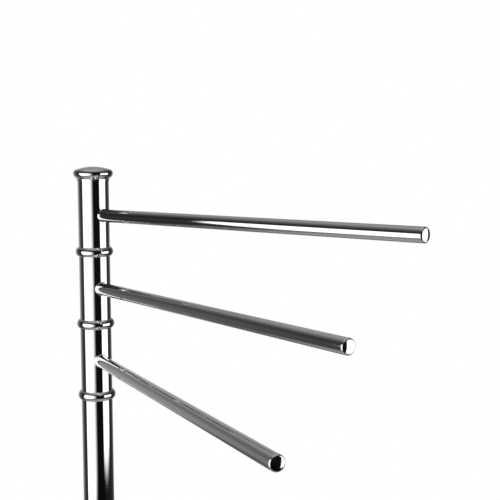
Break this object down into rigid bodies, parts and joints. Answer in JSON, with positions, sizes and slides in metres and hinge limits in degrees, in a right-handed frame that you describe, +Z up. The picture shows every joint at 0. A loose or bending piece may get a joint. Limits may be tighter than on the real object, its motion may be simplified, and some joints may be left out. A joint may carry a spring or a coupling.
{
  "type": "standing towel and garment rack",
  "caption": "Free-standing rack: round weighted base, tube post and straight arms stacked one above another, each swivelling on the post.",
  "frame": {"origin": "centre of the underside, where the post's axis meets the surface that the foot ring rests on", "axes": "+Z up the post, which all three swivels turn about; the middle arm points along -Y at rest, the top arm is turned 12.2 degrees from it towards +X and the bottom arm 8.7 degrees towards -X"},
  "size_m": [0.23, 0.515, 0.87],
  "materials": {
    "chrome": "polished chrome plating on steel tube, bright and mirror-like",
    "zinc_plate": "bright zinc-plated steel, slightly cloudy",
    "cast_iron": "rough sand-cast iron under thin dark paint",
    "nylon": "natural moulded nylon, satin",
    "rubber": "matt black moulded rubber"
  },
  "bodies": {
    "stand": {"foot_ring": "rubber", "base_plate": "zinc_plate", "plate_screws": "zinc_plate", "base_weight": "cast_iron", "base_cover": "chrome", "base_bolt": "zinc_plate", "base_lock_washer": "zinc_plate", "base_washer": "zinc_plate", "post_collar": "chrome", "lower_post": "chrome", "post_bottom_insert": "zinc_plate", "post_top_insert": "zinc_plate", "spindle": "zinc_plate", "ring_bottom": "chrome", "ring_middle": "chrome", "ring_top": "chrome", "stack_washer": "zinc_plate", "disc_spring": "zinc_plate", "lock_nut": "zinc_plate", "cap": "chrome"},
    "top_swivel": {"sleeve_top": "chrome", "arm_top": "chrome", "arm_plug_top": "chrome", "upper_bush_top": "nylon", "lower_bush_top": "nylon"},
    "middle_swivel": {"sleeve_middle": "chrome", "arm_middle": "chrome", "arm_plug_middle": "chrome", "upper_bush_middle": "nylon", "lower_bush_middle": "nylon"},
    "bottom_swivel": {"sleeve_bottom": "chrome", "arm_bottom": "chrome", "arm_plug_bottom": "chrome", "upper_bush_bottom": "nylon", "lower_bush_bottom": "nylon"}
  },
  "joints": [
    {"name": "top_arm_swivel", "type": "hinge", "parent": "stand", "child": "top_swivel", "pos_m": [0, 0, 0.8201], "axis": [0, 0, 1], "continuous": true},
    {"name": "middle_arm_swivel", "type": "hinge", "parent": "stand", "child": "middle_swivel", "pos_m": [0, 0, 0.7451], "axis": [0, 0, 1], "continuous": true},
    {"name": "bottom_arm_swivel", "type": "hinge", "parent": "stand", "child": "bottom_swivel", "pos_m": [0, 0, 0.6701], "axis": [0, 0, 1], "continuous": true}
  ]
}
